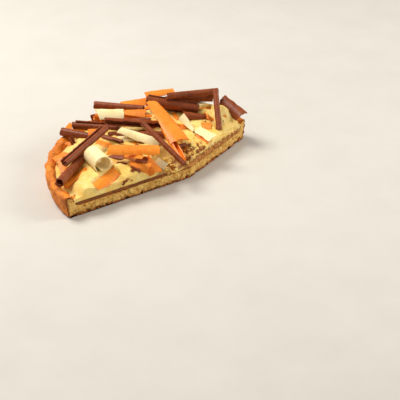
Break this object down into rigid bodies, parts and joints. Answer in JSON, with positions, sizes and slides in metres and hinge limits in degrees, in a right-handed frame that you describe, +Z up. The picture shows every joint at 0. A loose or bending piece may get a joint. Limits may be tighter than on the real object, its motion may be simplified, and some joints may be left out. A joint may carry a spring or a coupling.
{
  "type": "half cream pie",
  "caption": "Half of a round caramel cream pie in a low pastry case, its cut face showing the layers, heaped with chocolate rolls and shavings.",
  "frame": {"origin": "centre of the round pie's circle, on its flat underside, in the plane 2 mm behind the main cut", "axes": "+X along the main cut towards the end with the sliver missing, +Y from the cut to the round rim, +Z up"},
  "size_m": [0.2538, 0.1493, 0.0593],
  "materials": {
    "pastry": "baked pastry, matt, browned outside and pale inside",
    "caramel": "set caramel, satin",
    "cream": "whipped cream, satin",
    "milk_chocolate": "milk chocolate, satin",
    "caramel_chocolate": "caramel chocolate, satin",
    "white_chocolate": "white chocolate, satin"
  },
  "bodies": {
    "root": {"crust": "pastry", "caramel": "caramel", "cream": "cream", "milk_roll_far_left": "milk_chocolate", "caramel_slab_far": "caramel_chocolate", "milk_roll_far": "milk_chocolate", "white_slab_far": "white_chocolate", "caramel_slab_rim": "caramel_chocolate", "caramel_slab_left": "caramel_chocolate", "caramel_strip_left": "caramel_chocolate", "caramel_chip_left": "caramel_chocolate", "caramel_slab_back_left": "caramel_chocolate", "caramel_slab_hanging": "caramel_chocolate", "white_chip_front": "white_chocolate", "caramel_leaf_front": "caramel_chocolate", "milk_chunk_front": "milk_chocolate", "milk_slab_behind_leaf": "milk_chocolate", "caramel_shard_front": "caramel_chocolate", "milk_shard_front": "milk_chocolate", "milk_chunk_right": "milk_chocolate", "caramel_slab_folded": "caramel_chocolate", "milk_roll_front_left": "milk_chocolate", "white_curl": "white_chocolate", "milk_roll_middle": "milk_chocolate", "caramel_slab_front": "caramel_chocolate", "caramel_slab_middle": "caramel_chocolate", "milk_roll_pointed": "milk_chocolate", "caramel_strip_right": "caramel_chocolate", "caramel_slab_right": "caramel_chocolate", "white_slab_right": "white_chocolate", "milk_roll_right": "milk_chocolate", "caramel_chip_right": "caramel_chocolate", "caramel_shard_right": "caramel_chocolate", "milk_roll_rim": "milk_chocolate", "milk_roll_left": "milk_chocolate", "caramel_slab_far_left": "caramel_chocolate", "milk_roll_torn": "milk_chocolate", "white_slab_folded": "white_chocolate", "caramel_roll_left": "caramel_chocolate", "milk_curl_middle": "milk_chocolate", "caramel_slab_upper_left": "caramel_chocolate", "white_slab_left": "white_chocolate", "white_slab_middle": "white_chocolate", "milk_roll_top_left": "milk_chocolate", "milk_roll_top": "milk_chocolate", "milk_roll_back": "milk_chocolate", "caramel_slab_back_a": "caramel_chocolate", "caramel_slab_back_b": "caramel_chocolate", "milk_roll_back_top": "milk_chocolate", "milk_curl_long": "milk_chocolate", "milk_roll_twin": "milk_chocolate", "caramel_curl_leaning": "caramel_chocolate", "milk_roll_leaning": "milk_chocolate", "caramel_slab_big": "caramel_chocolate", "milk_curl_right": "milk_chocolate", "milk_slab_right": "milk_chocolate"}
  },
  "joints": []
}
